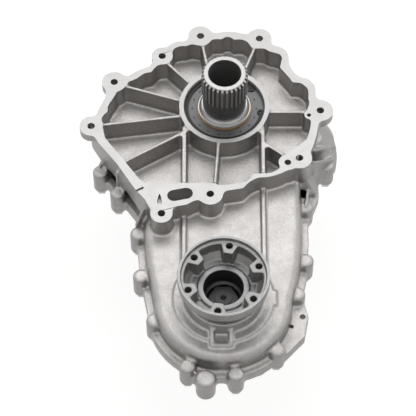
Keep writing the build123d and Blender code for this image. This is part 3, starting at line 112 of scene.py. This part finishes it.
# Seats of the two bearings and the bores under them in mm: radius and floor
input_seat_r, input_seat_floor = 47.5, -17.0
input_bore_r, input_bore_floor = 42.0, -30.0
neck_seat_r, neck_seat_floor = 36.0, -23.5
neck_bore_r, neck_bore_floor = 33.0, -52.0
boss_outer_r = 60.0

# Tops in mm of the stock that fills the holes and of the drills, and what milling takes off a face
stock_top = 3.0
drill_top = 6.0
milling_stock = 5.0

# Groove and notch in the bell's lower rim, and chamfer of the input seat, in mm
groove_x, groove_y, groove_r = -76.5, -138.5, 2.8
groove_tip_y, groove_floor = -127.0, -6.0
notch_start, notch_end = (-95.5, -118.0), (-109.0, -126.0)
notch_width, notch_floor = 3.0, -3.0
chamfer_low_r, chamfer_low = 46.5, -2.7
chamfer_high_r, chamfer_high = 50.2, 1.0

# Input shaft and its collar in mm
shaft_bore_r = 19.9
tip_chamfer_r = 24.9
tooth_middle_r = 25.7
tooth_count = 30
teeth_start = 30.0
shaft_tip = 61.5
collar_groove_r = 29.4

# Front flange in mm: radii from its hub outwards, the top of its bore and the start of its rim
flange_bore_r = 23.4
hub_r = 27.5
ledge_r = 33.0
cup_r = 45.6
lip_r = 46.8
lip_groove_r = 50.6
flange_bore_top = -2.9
rim_start = 12.0


class Value:
    """A number that changes over a surface. Arithmetic on it adds Math nodes."""

    def __init__(self, nodes, socket):
        self.nodes = nodes
        self.socket = socket

    def math(self, operation, first, second=0.0, clamp=False):
        settings = {"operation": operation, "use_clamp": clamp}
        return self.nodes.node("ShaderNodeMath", settings, {0: first, 1: second})

    def __add__(self, other):
        return self.math("ADD", self, other)

    def __radd__(self, other):
        return self.math("ADD", other, self)

    def __sub__(self, other):
        return self.math("SUBTRACT", self, other)

    def __rsub__(self, other):
        return self.math("SUBTRACT", other, self)

    def __mul__(self, other):
        return self.math("MULTIPLY", self, other)

    def __rmul__(self, other):
        return self.math("MULTIPLY", other, self)

    def __pow__(self, other):
        return self.math("POWER", self, other)

    def above(self, limit, width):
        """Rises from 0 to 1 over `width`, centred on `limit`."""
        return self.math("MULTIPLY_ADD", self, 1.0 / width, clamp=True).shift(0.5 - limit / width)

    def shift(self, amount):
        """Set what a multiply-add node adds."""
        self.socket.node.inputs[2].default_value = amount
        return self

    def sine_from(self, phase):
        """The sine of the angle plus a phase."""
        return self.math("SINE", self + phase)

    def most(self, other):
        """The greater of two values."""
        return self.math("MAXIMUM", self, other)


class Nodes:
    """The node tree of a material or of the world."""

    def __init__(self, tree):
        self.tree = tree

    def node(self, kind, settings, values, output=0):
        """Add a node, apply its settings, then give its sockets numbers, colours or links."""
        made = self.tree.nodes.new(kind)
        for name, setting in settings.items():
            setattr(made, name, setting)
        for name, value in values.items():
            self.fill(made.inputs[name], value)
        return Value(self, made.outputs[output]) if len(made.outputs) else made

    def fill(self, socket, value):
        """Link a value to a socket, or set the socket to a number or a colour."""
        if isinstance(value, Value):
            self.tree.links.new(value.socket, socket)
        else:
            socket.default_value = value


class Finish(Nodes):
    """A node material: its shader, and what its numbers and colours are worked out from."""

    def __init__(self, name, metallic, roughness):
        self.material = bpy.data.materials.new(name)
        self.material.use_nodes = True
        super().__init__(self.material.node_tree)
        self.shader = self.tree.nodes["Principled BSDF"]
        self.shader.inputs["Metallic"].default_value = metallic
        self.shader.inputs["Roughness"].default_value = roughness
        self.coordinates = self.node("ShaderNodeTexCoord", {}, {}, "Object")
        facing = self.node("ShaderNodeTexCoord", {}, {}, "Normal")
        self.x, self.y, self.z = (
            self.node("ShaderNodeSeparateXYZ", {}, {0: self.coordinates}, i) for i in range(3)
        )
        self.up = self.node("ShaderNodeSeparateXYZ", {}, {0: facing}, 2)

    def noise(self, size, detail=2.0, roughness=0.5, stretch=(1, 1, 1)):
        """Noise whose features are about `size` metres across."""
        place = self.node("ShaderNodeMapping", {}, {"Vector": self.coordinates, "Scale": stretch})
        values = {"Vector": place, "Scale": 1 / size, "Detail": detail, "Roughness": roughness}
        return self.node("ShaderNodeTexNoise", {}, values)

    def pits(self, size):
        """Distance to the nearest of many scattered points, from 0 at a point."""
        return self.node("ShaderNodeTexVoronoi", {}, {"Vector": self.coordinates, "Scale": 1 / size})

    def distance_from(self, axis):
        """Distance from an upright axis."""
        across = self.x - axis[0]
        along = self.y - axis[1]
        return (across * across + along * along) ** 0.5

    def mix(self, factor, first, second):
        """Colour between `first` and `second`."""
        values = {"Factor": factor, 6: first, 7: second}
        return self.node("ShaderNodeMix", {"data_type": "RGBA"}, values, 2)

    def bump(self, height, depth, normal=None):
        """Relief from a height between 0 and 1, on top of any other relief."""
        values = {"Height": height, "Distance": depth, "Strength": 1.0}
        if normal:
            values["Normal"] = normal
        return self.node("ShaderNodeBump", {}, values)

    def edges(self):
        """About 0.5 on a flat face, more on a standing edge and less in a hollow corner."""
        return self.node("ShaderNodeNewGeometry", {}, {}, "Pointiness")

    def near(self, value, target, reach):
        """1 where a value is within `reach` of a target, falling to 0 a little outside."""
        away = self.node("ShaderNodeMath", {"operation": "ABSOLUTE"}, {0: value - target})
        return 1 - away.above(reach, reach / 4)

    def give(self, **sockets):
        """Link or set shader sockets. Their names are written with _ for a space."""
        for name, value in sockets.items():
            self.fill(self.shader.inputs[name.replace("_", " ")], value)
        return self.material


def grey(level, warmth=0.0):
    """An opaque grey, tinted from blue at -1 to brown at 1."""
    return (level * (1 + 0.05 * warmth), level, level * (1 - 0.04 * warmth), 1)


def cast_aluminium(name, faces):
    """Shot-blasted aluminium, milled bright where it faces straight up or down at one of the heights.

    Walls are painted a darker, warmer grey than faces that point straight up or down: painted shade."""
    finish = Finish(name, 0.6, 0.4)
    cloud = finish.noise(0.045, 5, 0.62)
    stain = finish.noise(0.013, 4, 0.6)
    blast = finish.noise(0.0011, 2, 0.6)
    facing_up_or_down = finish.up * finish.up
    milled = None
    for height in faces:
        level = finish.near(finish.z, height, 0.3 * MM)
        milled = level if milled is None else milled.most(level)
    milled = milled * facing_up_or_down.above(0.97, 0.02)
    # Walls get a darker, warmer grey than faces that point up or down: painted shade.
    shaded_wall_grey = finish.mix(cloud, grey(0.30, 0.9), grey(0.42, 0.7))
    floor = finish.mix(cloud, grey(0.42, 0.8), grey(0.64, 0.5))
    skin_with_painted_light = finish.mix(facing_up_or_down.above(0.5, 0.9), shaded_wall_grey, floor)
    skin_with_painted_light = finish.mix(stain.above(0.56, 0.25) * 0.4, skin_with_painted_light, grey(0.36, 0.7))
    grain = finish.noise(0.0024, 3, 0.7)
    skin_with_painted_light = finish.mix(grain.above(0.58, 0.2) * 0.12, skin_with_painted_light, grey(0.25, 0.7))
    skin_with_painted_light = finish.mix((1 - grain).above(0.58, 0.2) * 0.15, skin_with_painted_light, grey(0.95, 0.2))
    skin_with_painted_light = finish.mix((1 - finish.pits(0.009).above(0.10, 0.06)) * 0.3, skin_with_painted_light, grey(0.14, 0.7))
    edge = finish.edges()
    # Standing edges are painted bright: partly worn edges, partly painted highlight.
    skin_with_painted_light = finish.mix(edge.above(0.60, 0.08) * 0.8, skin_with_painted_light, grey(0.90, 0.1))
    # Hollow corners are painted dark: painted shade.
    skin_with_painted_light = finish.mix((1 - edge.above(0.40, 0.08)) * 0.65, skin_with_painted_light, grey(0.16, 0.9))
    bright = finish.mix(cloud, grey(0.47, 0.3), grey(0.56, 0.2))
    boss = 1 - finish.distance_from(main_axis).above(boss_outer_r * MM, 2 * MM)
    bright = finish.mix(boss, bright, grey(0.48, 0.2))
    relief = finish.bump((blast + 0.5 * finish.pits(0.0016)) * (1 - milled), 0.0003)
    relief = finish.bump(finish.noise(0.0006, 1, 0.5, (1, 0.05, 1)) * milled, 0.00004, relief)
    roughness = 0.38 + 0.12 * (stain - 0.5) + 0.07 * milled
    return finish.give(Base_Color=finish.mix(milled, skin_with_painted_light, bright), Roughness=roughness, Normal=relief)


def turned(finish, axis, depth):
    """Distance from the axis, and the relief of fine turned rings."""
    radius = finish.distance_from(axis)
    values = {"W": radius + finish.z, "Scale": 2600.0}
    rings = finish.node("ShaderNodeTexNoise", {"noise_dimensions": "1D"}, values)
    return radius, finish.bump(rings, depth)


def turned_steel(name, level, warmth, roughness, axis):
    """Steel turned round an upright axis: fine rings, and a tone that changes a little."""
    finish = Finish(name, 0.9, roughness)
    _, relief = turned(finish, axis, 0.00003)
    cloud = finish.noise(0.012, 3, 0.6)
    colour = finish.mix(cloud, grey(level * 0.8, warmth), grey(level * 1.15, warmth))
    return finish.give(Base_Color=colour, Roughness=roughness + 0.12 * (cloud - 0.5), Normal=relief)


def shaft_metal(name):
    """Input shaft: dark phosphated steel, with bright lands on the teeth and a bright tip face."""
    finish = Finish(name, 0.75, 0.4)
    radius, relief = turned(finish, main_axis, 0.00003)
    turn = finish.node("ShaderNodeMath", {"operation": "ARCTAN2"}, {0: finish.y, 1: finish.x})
    cloud = finish.noise(0.007, 4, 0.6)
    toothed = finish.z.above(teeth_start * MM, 2 * MM)
    dark = finish.mix(cloud, grey(0.14, 0.3), grey(0.23, 0.4))
    land = radius.above(tooth_middle_r * MM, 1.0 * MM) * toothed
    at_tip = finish.z.above(shaft_tip * MM, 0.6 * MM)
    tip = at_tip * finish.up.above(0.6, 0.2)
    # The tooth gaps are painted as dark notches across the tip's chamfer, where the chamfer leaves a
    # plain ring: painted shade.
    gap = ((turn * tooth_count).sine_from(pi / 2) * -1).above(0.2, 0.5)
    notch = at_tip * radius.above(tip_chamfer_r * MM, 0.2 * MM) * gap
    colour = finish.mix(toothed * 0.5, dark, grey(0.14, 0.3))
    colour = finish.mix(land * (0.7 + 0.3 * cloud), colour, grey(0.38, 0.3))
    colour = finish.mix(tip, colour, finish.mix(cloud, grey(0.30, 0.2), grey(0.46, 0.2)))
    colour = finish.mix(notch * 0.75, colour, grey(0.08, 0.3))
    bore = 1 - radius.above(shaft_bore_r * MM, 0.4 * MM)
    colour = finish.mix(bore, colour, grey(0.22, 0.3))
    metallic = 0.75 - 0.75 * bore
    return finish.give(
        Base_Color=colour, Metallic=metallic, Roughness=0.36 + 0.2 * (cloud - 0.5), Normal=relief)


def collar_metal(name):
    """Bright collar on the input shaft, ground in bands."""
    finish = Finish(name, 0.55, 0.28)
    radius, relief = turned(finish, main_axis, 0.00003)
    cloud = finish.noise(0.01, 3, 0.6)
    colour = finish.mix(cloud, grey(0.52, 0.2), grey(0.68, 0.1))
    band = finish.near(radius, collar_groove_r * MM, 0.35 * MM)
    colour = finish.mix(band * 0.6, colour, grey(0.22, 0.3))
    return finish.give(Base_Color=colour, Roughness=0.28 + 0.1 * cloud, Normal=relief)


def flange_iron(name):
    """Output flange: turned rim with a fine groove, rough hub face, and forged walls between."""
    finish = Finish(name, 0.7, 0.42)
    radius, relief = turned(finish, front_axis, 0.00005)
    cloud = finish.noise(0.008, 4, 0.65)
    speck = finish.noise(0.0022, 3, 0.7)
    level = finish.up.above(0.93, 0.08)
    upper = finish.z.above(rim_start * MM, 1 * MM)
    forged = finish.mix(cloud, grey(0.23, 0.4), grey(0.45, 0.3))
    cut = finish.mix(cloud, grey(0.22, 0.2), grey(0.33, 0.1))
    cut = finish.mix(radius.above(lip_r * MM, 0.4 * MM), cut, grey(0.42, 0.1))
    hub = finish.mix(speck.above(0.5, 0.5), grey(0.17, 0.3), grey(0.30, 0.1))
    hub = finish.mix(1 - radius.above(hub_r * MM, 1 * MM), hub, grey(0.27, 0.1))
    colour = finish.mix(level * upper, forged, cut)
    groove = finish.near(radius, lip_groove_r * MM, 0.3 * MM) * level * upper
    colour = finish.mix(groove * 0.7, colour, grey(0.08, 0.2))
    ledge = (level * (1 - upper)).most(1 - radius.above(ledge_r * MM, 2 * MM))
    colour = finish.mix(ledge, colour, hub)
    # The outer wall below the rim is painted dark: painted shade.
    band = (1 - finish.z.above(rim_start * MM, 0.6 * MM)) * radius.above(cup_r * MM, 0.3 * MM)
    colour = finish.mix(band, colour, grey(0.16, 0.2))
    # The bore below the hub is painted dark: painted shade deep in the bore.
    below = 1 - finish.z.above(flange_bore_top * MM, 0.5 * MM)
    bore = (1 - radius.above(flange_bore_r * MM, 0.6 * MM)) * below
    colour = finish.mix(bore, colour, grey(0.10, 0.2))
    relief = finish.bump(finish.noise(0.0014, 2, 0.6) * (1 - level * upper), 0.0002, relief)
    return finish.give(Base_Color=colour, Roughness=0.42 + 0.15 * (cloud - 0.5), Normal=relief)


def rubber(name):
    """Matt black rubber."""
    finish = Finish(name, 0.0, 0.6)
    cloud = finish.noise(0.004, 3, 0.6)
    colour = finish.mix(cloud, grey(0.02), grey(0.05))
    return finish.give(Base_Color=colour, Normal=finish.bump(cloud, 0.0001))


def coloured_metal(name, low, high, roughness):
    """Metal with a colour of its own: bronze, copper, or plated yellow."""
    finish = Finish(name, 0.9, roughness)
    cloud = finish.noise(0.006, 3, 0.6)
    grain = finish.noise(0.0008, 2, 0.5)
    colour = finish.mix(cloud, (*low, 1), (*high, 1))
    relief = finish.bump(grain, 0.00005)
    return finish.give(Base_Color=colour, Roughness=roughness + 0.15 * (cloud - 0.5), Normal=relief)


def only_select(piece):
    """Select one piece and make it active."""
    bpy.ops.object.select_all(action="DESELECT")
    piece.select_set(True)
    bpy.context.view_layer.objects.active = piece


def copy_of(node, name):
    """A merged copy of a CAD node, which rides with it and stands for it."""
    source = frame["nodes"][node]
    piece = source.copy()
    piece.data = source.data.copy()
    piece.name = name
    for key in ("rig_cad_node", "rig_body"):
        if key in piece:
            del piece[key]
    scene.collection.objects.link(piece)
    piece.parent = None
    only_select(piece)
    bpy.ops.object.mode_set(mode="EDIT")
    bpy.ops.mesh.select_all(action="SELECT")
    bpy.ops.mesh.remove_doubles(threshold=1e-6)
    bpy.ops.object.mode_set(mode="OBJECT")
    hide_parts(node)
    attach(piece, source["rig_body"])
    return piece


def add_modifier(piece, kind, **settings):
    """Add a modifier with its settings and apply it."""
    modifier = piece.modifiers.new(kind.title(), kind)
    for name, value in settings.items():
        setattr(modifier, name, value)
    only_select(piece)
    bpy.ops.object.modifier_apply(modifier=modifier.name)


def remesh(piece, grid):
    """Build the mesh again on an even grid, which joins what overlaps."""
    piece.data.remesh_voxel_size = grid
    only_select(piece)
    bpy.ops.object.voxel_remesh()


def cylinders(rods):
    """One mesh of upright rods: x, y, radius, bottom and top in mm."""
    parts = []
    for x, y, r, low, high in rods:
        bpy.ops.object.select_all(action="DESELECT")
        bpy.ops.mesh.primitive_cylinder_add(
            vertices=max(24, int(2 * r)), radius=r * MM, depth=(high - low) * MM,
            location=(x * MM, y * MM, (low + high) / 2 * MM),
        )
        bpy.ops.object.transform_apply(location=True, rotation=True, scale=True)
        parts.append(bpy.context.object)
    for part in parts:
        part.select_set(True)
    bpy.ops.object.join()
    return bpy.context.object


def combine(piece, tool, operation):
    """Join a tool's shape to a piece or cut it away, then remove the tool."""
    add_modifier(piece, "BOOLEAN", operation=operation, solver="MANIFOLD", object=tool)
    bpy.data.objects.remove(tool)


def mill(piece, height, above):
    """Mill a piece flat at a height in mm, from above or below, with a block wider than the case."""
    bpy.ops.object.select_all(action="DESELECT")
    depth = 40
    middle = height + (depth / 2 if above else -depth / 2)
    bpy.ops.mesh.primitive_cube_add(size=1, location=(0, -0.12, middle * MM))
    block = bpy.context.object
    block.scale = (0.6, 0.8, depth * MM)
    bpy.ops.object.transform_apply(location=True, rotation=True, scale=True)
    combine(piece, block, "DIFFERENCE")


def as_cast(node, name, fillet, grid, stock=(), grow_above=None, grow_below=None):
    """A copy of a node as it leaves its mould: soft edges, filleted corners, stock on machined faces.

    `stock` are rods that fill the holes which are drilled afterwards. Faces at `grow_above` or
    higher, or at `grow_below` or lower, in mm, are moved out by the milling stock."""
    piece = copy_of(node, name)
    for vertex in piece.data.vertices:
        if grow_above is not None and vertex.co.z > (grow_above - 0.01) * MM:
            vertex.co.z += milling_stock * MM
        if grow_below is not None and vertex.co.z < (grow_below + 0.01) * MM:
            vertex.co.z -= milling_stock * MM
    remesh(piece, grid)
    if stock:
        combine(piece, cylinders(stock), "UNION")
    for amount in (fillet, -fillet):
        add_modifier(piece, "DISPLACE", strength=amount, mid_level=0.0)
        remesh(piece, grid)
    add_modifier(piece, "SMOOTH", factor=0.5, iterations=6)
    return piece


def tear_drop(x, y, r, tip_y, low, high):
    """An upright rod whose far side runs out to a tip."""
    drop = cylinders([(x, y, r, low, high)])
    for vertex in drop.data.vertices:
        ahead = (vertex.co.y / MM - y) / r
        if ahead > 0:
            vertex.co.y = (y + ahead * (tip_y - y)) * MM
            vertex.co.x = (x + (vertex.co.x / MM - x) * (1 - 0.4 * ahead)) * MM
    return drop


def strip(x_start, y_start, x_end, y_end, width, low, high):
    """A straight bar between two points, to cut a notch with."""
    bpy.ops.object.select_all(action="DESELECT")
    bpy.ops.mesh.primitive_cube_add(
        size=1, location=((x_start + x_end) / 2 * MM, (y_start + y_end) / 2 * MM, (low + high) / 2 * MM))
    bar = bpy.context.object
    run = Vector((x_end - x_start, y_end - y_start))
    bar.scale = (run.length * MM, width * MM, (high - low) * MM)
    bar.rotation_euler = (0, 0, atan2(run.y, run.x))
    bpy.ops.object.transform_apply(location=True, rotation=True, scale=True)
    return bar


def cone_cut(x, y, r_low, r_high, low, high):
    """A cone that widens upwards, for a chamfer round a bore."""
    bpy.ops.object.select_all(action="DESELECT")
    bpy.ops.mesh.primitive_cone_add(
        vertices=96, radius1=r_low * MM, radius2=r_high * MM, depth=(high - low) * MM,
        location=(x * MM, y * MM, (low + high) / 2 * MM),
    )
    bpy.ops.object.transform_apply(location=True, rotation=True, scale=True)
    return bpy.context.object


def lighten(piece, most_triangles, flat_heights):
    """Drop triangles where the surface is even, and keep the milled faces exactly flat."""
    triangles = sum(len(face.vertices) - 2 for face in piece.data.polygons)
    if triangles > most_triangles:
        add_modifier(piece, "DECIMATE", ratio=most_triangles / triangles)
    for vertex in piece.data.vertices:
        for height in flat_heights:
            if abs(vertex.co.z - height * MM) < 0.25 * MM:
                vertex.co.z = height * MM
    add_modifier(piece, "DECIMATE", decimate_type="DISSOLVE", angle_limit=radians(0.3))


def finish_all(piece, material):
    """Give a piece its finish, with smooth shading and crisp milled edges."""
    piece.data.materials.clear()
    piece.data.materials.append(material)
    only_select(piece)
    bpy.ops.object.shade_smooth_by_angle(angle=smooth_angle)
    add_modifier(piece, "WEIGHTED_NORMAL", keep_sharp=True)


def paint_node(name, material):
    """Give a CAD node its finish."""
    node = frame["nodes"][name]
    node.data.materials.clear()
    node.data.materials.append(material)


# Finishes of the slots, and of single nodes that differ from their slot
casting = cast_aluminium("cast_aluminium", [bell_face * MM, neck_face * MM])
rear_casting = cast_aluminium("cast_aluminium_rear", [rear_face * MM])
shaft_steel = shaft_metal("shaft_steel")
dark_steel = turned_steel("dark_steel", 0.10, 0.1, 0.4, front_axis)
bearing_steel = turned_steel("bearing_steel", 0.42, 0.1, 0.3, main_axis)
race_steel = turned_steel("race_steel", 0.145, -0.2, 0.5, main_axis)
collar_steel = collar_metal("collar_steel")
# Steel of the output shaft and flange nut deep in the flange's bore: partly its own dark tone, partly
# painted shade.
deep_shaded_steel = turned_steel("deep_shaded_steel", 0.07, 0.1, 0.55, front_axis)
ring_steel = turned_steel("snap_ring_steel", 0.03, 0.0, 0.42, main_axis)
cage_steel = turned_steel("cage_steel", 0.02, 0.1, 0.6, main_axis)
gear_steel = turned_steel("gear_steel", 0.35, 0.1, 0.4, main_axis)
flange_steel = flange_iron("flange_iron")
bolt_zinc = coloured_metal("bolt_zinc", (0.42, 0.42, 0.40), (0.62, 0.62, 0.60), 0.35)
amber = coloured_metal("amber_plating", (0.22, 0.12, 0.03), (0.38, 0.22, 0.07), 0.4)
bronze = coloured_metal("bronze", (0.45, 0.28, 0.12), (0.62, 0.42, 0.20), 0.4)
copper = coloured_metal("copper", (0.55, 0.25, 0.13), (0.72, 0.38, 0.22), 0.35)
seal_rubber = rubber("seal_rubber")

slot_finishes = {
    "cast_aluminium": casting, "dark_steel": dark_steel, "bearing_steel": bearing_steel,
    "steel": gear_steel, "flange_iron": flange_steel, "zinc_steel": bolt_zinc, "amber_ring": amber,
    "seal_rubber": seal_rubber, "cage": cage_steel, "bronze": bronze, "chain": gear_steel,
    "copper": copper,
}
node_finishes = {
    "input_shaft": shaft_steel, "input_snap_ring": ring_steel, "rear_case": rear_casting,
    "input_bearing_shield": race_steel, "input_bearing_outer_ring": race_steel,
    "input_bearing_inner_ring": race_steel, "front_output_shaft": deep_shaded_steel,
    "front_flange_nut": deep_shaded_steel, "thrust_collar": collar_steel,
}
for entry in frame["record"]["subparts"]:
    paint_node(entry["node"], node_finishes.get(entry["node"], slot_finishes[entry["material_slot"]]))

# Castings and the forged flange, rebuilt from their nodes; the castings are then machined
front_x, front_y = front_axis[0] / MM, front_axis[1] / MM
stock = [(x, y, r + 1.5, bell_hole_floor + 2, stock_top) for x, y, r in bell_holes]
stock += [(x, y, r + 1, dowel_hole_floor - 1, stock_top) for x, y, r in dowel_holes]
stock += [(x, y, r + 1, parting - 3, parting + 8) for x, y, r in ear_holes]
stock += [
    (0, 0, input_seat_r + 2.5, input_seat_floor - 2, stock_top),
    (front_x, front_y, neck_seat_r + 4, neck_seat_floor - 6.5, neck_face + 3),
    (-76.5, -137, 6, -8, stock_top), (-76, -129, 5, -8, stock_top),
]
front_case = as_cast(
    "front_case", "front_casting", cast_fillet, cast_grid, stock, bell_face, parting)
drills = [(x, y, r, bell_hole_floor, drill_top) for x, y, r in bell_holes]
drills += [(x, y, r, dowel_hole_floor, drill_top) for x, y, r in dowel_holes]
drills += [(x, y, r, parting - 8, parting + 12) for x, y, r in ear_holes]
drills += [
    (0, 0, input_seat_r, input_seat_floor, drill_top),
    (front_x, front_y, neck_seat_r, neck_seat_floor, 0),
]
bores = [
    (0, 0, input_bore_r, input_bore_floor, drill_top),
    (front_x, front_y, neck_bore_r, neck_bore_floor, 0),
]
combine(front_case, cylinders(drills), "DIFFERENCE")
combine(front_case, cylinders(bores), "DIFFERENCE")
groove = tear_drop(groove_x, groove_y, groove_r, groove_tip_y, groove_floor, drill_top)
combine(front_case, groove, "DIFFERENCE")
notch = strip(*notch_start, *notch_end, notch_width, notch_floor, drill_top)
combine(front_case, notch, "DIFFERENCE")
chamfer = cone_cut(0, 0, chamfer_low_r, chamfer_high_r, chamfer_low, chamfer_high)
combine(front_case, chamfer, "DIFFERENCE")
mill(front_case, bell_face, True)
mill(front_case, parting, False)
lighten(front_case, front_case_triangles, (bell_face, parting))
finish_all(front_case, casting)

rear_case = as_cast("rear_case", "rear_casting", cast_fillet, cast_grid, grow_above=parting)
mill(rear_case, parting, True)
lighten(rear_case, rear_case_triangles, (parting,))
finish_all(rear_case, rear_casting)

flange = as_cast("front_output_flange", "forged_flange", forged_fillet, forged_grid)
lighten(flange, flange_triangles, ())
finish_all(flange, flange_steel)


def soft_light(name, place, aim, width, height, power):
    """A softbox at a place, turned towards the point it lights."""
    light = bpy.data.lights.new(name, "AREA")
    light.shape = "RECTANGLE"
    light.size = width
    light.size_y = height
    light.energy = power
    lamp = bpy.data.objects.new(name, light)
    scene.collection.objects.link(lamp)
    lamp.location = place
    lamp.rotation_euler = (Vector(aim) - Vector(place)).to_track_quat("-Z", "Y").to_euler()


# Softboxes: place, width, height and watts
aim = (0.0, -0.1, 0.0)
soft_light("top_light", (0.0, 0.9, 1.8), aim, 1.4, 0.9, 12)
soft_light("left_light", (-1.8, 0.2, 0.9), aim, 0.8, 1.4, 2.5)
soft_light("right_light", (1.8, 0.2, 0.9), aim, 0.8, 1.4, 4)
soft_light("front_light", (0.0, -1.6, 1.2), aim, 1.6, 0.8, 0.6)
soft_light("streak_light", (0.0, -0.55, 1.7), aim, 1.8, 0.16, 2.5)


def seen_white(nodes):
    """1 for a ray of the camera, or one that a glossy or clear face sends on."""
    camera_ray, glossy_ray, clear_ray = (
        nodes.node("ShaderNodeLightPath", {}, {}, ray)
        for ray in ("Is Camera Ray", "Is Glossy Ray", "Is Transmission Ray")
    )
    return camera_ray.most(glossy_ray).most(clear_ray)


# Floor: white to the camera and in reflections, and a pale floor that takes the shadow
floor_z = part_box("rear_output_shaft")[0].z - 0.5 * MM
bpy.ops.object.select_all(action="DESELECT")
bpy.ops.mesh.primitive_plane_add(size=12, location=(0, 0, floor_z))
floor = bpy.context.object
floor.name = "floor"
floor_finish = bpy.data.materials.new("floor_paper")
floor_finish.use_nodes = True
floor_finish.node_tree.nodes.clear()
paper = Nodes(floor_finish.node_tree)
white = {"Color": (0.9, 0.9, 0.9, 1), "Strength": seen_white(paper)}
glow = paper.node("ShaderNodeEmission", {}, white)
matt = paper.node("ShaderNodeBsdfDiffuse", {}, {"Color": (0.3, 0.29, 0.28, 1)})
both = paper.node("ShaderNodeAddShader", {}, {0: glow, 1: matt})
paper.node("ShaderNodeOutputMaterial", {}, {"Surface": both})
floor.data.materials.append(floor_finish)

# World: white to the camera and in reflections, and a dim fill for the rest
world = bpy.data.worlds.new("studio")
scene.world = world
world.use_nodes = True
world.node_tree.nodes.clear()
sky = Nodes(world.node_tree)
strength = sky.node("ShaderNodeMapRange", {}, {"Value": seen_white(sky), "To Min": 0.1, "To Max": 1.0})
background = sky.node("ShaderNodeBackground", {}, {"Color": (1, 1, 1, 1), "Strength": strength})
sky.node("ShaderNodeOutputWorld", {}, {"Surface": background})

# Camera and colour
scene.view_settings.view_transform = "Standard"
camera_data = bpy.data.cameras.new("camera")
camera_data.lens = camera_lens
camera = bpy.data.objects.new("camera", camera_data)
scene.collection.objects.link(camera)
camera.location = camera_place
camera.rotation_euler = (camera_tilt, 0, 0)
scene.camera = camera
